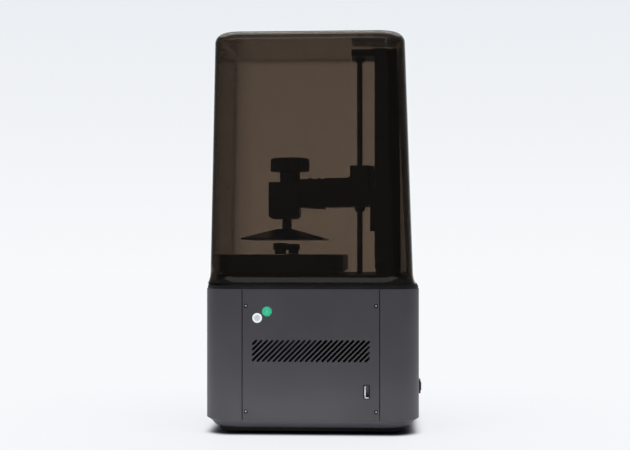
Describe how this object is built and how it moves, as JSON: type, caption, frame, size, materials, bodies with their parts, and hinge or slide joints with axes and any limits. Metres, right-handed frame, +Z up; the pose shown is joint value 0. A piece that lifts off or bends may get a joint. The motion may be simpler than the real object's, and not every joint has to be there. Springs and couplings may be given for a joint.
{
  "type": "resin printer",
  "caption": "Desktop resin 3-D printer: grey base with vented side panel, brown tinted lift-off cover, lead-screw Z axis, clamped build head, resin vat.",
  "frame": {"origin": "centre of the footprint, on the ground under the rubber feet", "axes": "+X to the side with the vents and the memory-stick port, -Y to the front with the screen, +Y to the rear, +Z up"},
  "size_m": [0.22, 0.2159, 0.4],
  "materials": {
    "housing_grey": "satin fine-grain coating",
    "plinth_grey": "satin",
    "black_plastic": "fine satin grain",
    "black_metal": "satin powder coat",
    "rubber": "matt",
    "tinted_cover": "polished brown tinted acrylic",
    "steel": "ground",
    "aluminium": "satin",
    "dark_steel": "blackened",
    "brass": "turned",
    "circuit_board": "solder mask",
    "screen_glass": "polished",
    "mask_glass": "polished",
    "clear_film": "glossy film",
    "lens_acrylic": "fine ribbed",
    "white_board": "solder mask",
    "bright_plate": "bright",
    "plate_metal": "dark anodised"
  },
  "bodies": {
    "base": {"front_shell": "housing_grey", "rear_shell": "housing_grey", "right_side_panel": "housing_grey", "left_side_panel": "housing_grey", "plinth_frame": "plinth_grey", "bottom_tray": "black_metal", "rubber_feet": "rubber", "top_rim": "black_plastic", "rim_seal": "rubber", "top_deck": "black_metal", "panel_screws": "dark_steel", "deck_posts": "aluminium", "screen_bezel": "black_plastic", "touch_glass": "screen_glass", "display_module": "circuit_board", "mainboard": "circuit_board", "stick_port": "bright_plate", "power_jack": "black_plastic", "switch_housing": "black_plastic", "exhaust_fan_frame": "black_plastic", "mask_screen": "mask_glass", "light_lens": "lens_acrylic", "light_hood": "aluminium", "lamp_board": "white_board", "heat_sink": "aluminium", "lamp_fan_frame": "black_plastic", "vat_body": "black_plastic", "film_frame": "aluminium", "release_film": "clear_film", "deck_inserts": "brass", "z_motor": "dark_steel", "z_base_bracket": "aluminium", "z_column": "black_metal", "linear_rail": "dark_steel", "top_bracket": "black_metal", "top_bearing": "steel", "home_sensor": "black_plastic"},
    "cover": {"cover": "tinted_cover"},
    "lead_screw": {"lead_screw": "dark_steel"},
    "carriage": {"rail_block": "dark_steel", "carriage": "black_metal", "lead_nut": "brass", "cantilever_arm": "black_metal", "tongue_bracket": "black_metal", "sensor_flag": "black_metal"},
    "head": {"head_block": "black_metal", "clamp_bush": "black_plastic"},
    "clamp_pad": {"clamp_pad": "brass"},
    "clamp_knob": {"clamp_knob": "black_plastic", "clamp_screw": "steel"},
    "ball": {"joint_ball": "steel"},
    "stud": {"ball_stud": "dark_steel"},
    "plate": {"build_plate": "plate_metal"},
    "right_washer": {"right_washer": "bright_plate"},
    "right_thumbscrew": {"right_thumbscrew": "black_plastic"},
    "left_washer": {"left_washer": "bright_plate"},
    "left_thumbscrew": {"left_thumbscrew": "black_plastic"},
    "rocker": {"switch_rocker": "black_plastic"},
    "exhaust_rotor": {"exhaust_fan_rotor": "black_plastic"},
    "lamp_rotor": {"lamp_fan_rotor": "black_plastic"}
  },
  "joints": [
    {"name": "cover_lift", "type": "slide", "parent": "base", "child": "cover", "axis": [0, 0, 1], "range_m": [0, 0.26]},
    {"name": "z_travel", "type": "slide", "parent": "base", "child": "carriage", "axis": [0, 0, 1], "range_m": [-0.0325, 0.098]},
    {"name": "lead_screw_turn", "type": "hinge", "parent": "base", "child": "lead_screw", "pos_m": [0, 0.046, 0.2], "axis": [0, 0, 1], "range_deg": [-8860, 2965]},
    {"name": "head_slide", "type": "slide", "parent": "carriage", "child": "head", "axis": [0, -1, 0], "range_m": [0, 0.018]},
    {"name": "clamp_pad_lift", "type": "slide", "parent": "head", "child": "clamp_pad", "axis": [0, 0, 1], "range_m": [0, 0.00375]},
    {"name": "clamp_knob_turn", "type": "hinge", "parent": "clamp_pad", "child": "clamp_knob", "pos_m": [0, -0.0285, 0.26], "axis": [0, 0, 1], "range_deg": [-20, 1100]},
    {"name": "plate_pitch", "type": "hinge", "parent": "head", "child": "ball", "pos_m": [0, -0.0318, 0.2228], "axis": [1, 0, 0], "range_deg": [-1.5, 1.5]},
    {"name": "plate_roll", "type": "hinge", "parent": "ball", "child": "stud", "pos_m": [0, -0.0318, 0.2228], "axis": [0, 1, 0], "range_deg": [-1, 1]},
    {"name": "plate_yaw", "type": "hinge", "parent": "stud", "child": "plate", "pos_m": [0, -0.0318, 0.2228], "axis": [0, 0, 1], "range_deg": [-3, 3]},
    {"name": "right_washer_lift", "type": "slide", "parent": "base", "child": "right_washer", "axis": [0, 0, 1], "range_m": [0, 0.008]},
    {"name": "right_thumbscrew_turn", "type": "hinge", "parent": "right_washer", "child": "right_thumbscrew", "pos_m": [0.089, -0.0313, 0.18], "axis": [0, 0, 1], "range_deg": [-40, 3640]},
    {"name": "left_washer_lift", "type": "slide", "parent": "base", "child": "left_washer", "axis": [0, 0, 1], "range_m": [0, 0.008]},
    {"name": "left_thumbscrew_turn", "type": "hinge", "parent": "left_washer", "child": "left_thumbscrew", "pos_m": [-0.089, -0.0313, 0.18], "axis": [0, 0, 1], "range_deg": [-40, 3640]},
    {"name": "power_rocker", "type": "hinge", "parent": "base", "child": "rocker", "pos_m": [0.056, 0.1031, 0.0439], "axis": [0, 0, 1], "range_deg": [-18, 0]},
    {"name": "exhaust_fan_spin", "type": "hinge", "parent": "base", "child": "exhaust_rotor", "pos_m": [-0.044, 0.0965, 0.084], "axis": [0, 1, 0], "continuous": true},
    {"name": "lamp_fan_spin", "type": "hinge", "parent": "base", "child": "lamp_rotor", "pos_m": [0, -0.0313, 0.025], "axis": [0, 0, 1], "continuous": true}
  ],
  "couplings": [
    {"joint": "lead_screw_turn", "follows": "z_travel", "rad_per_m": -1570.8},
    {"joint": "clamp_knob_turn", "follows": "clamp_pad_lift", "rad_per_m": 5026.5},
    {"joint": "right_thumbscrew_turn", "follows": "right_washer_lift", "rad_per_m": 7854},
    {"joint": "left_thumbscrew_turn", "follows": "left_washer_lift", "rad_per_m": 7854}
  ]
}
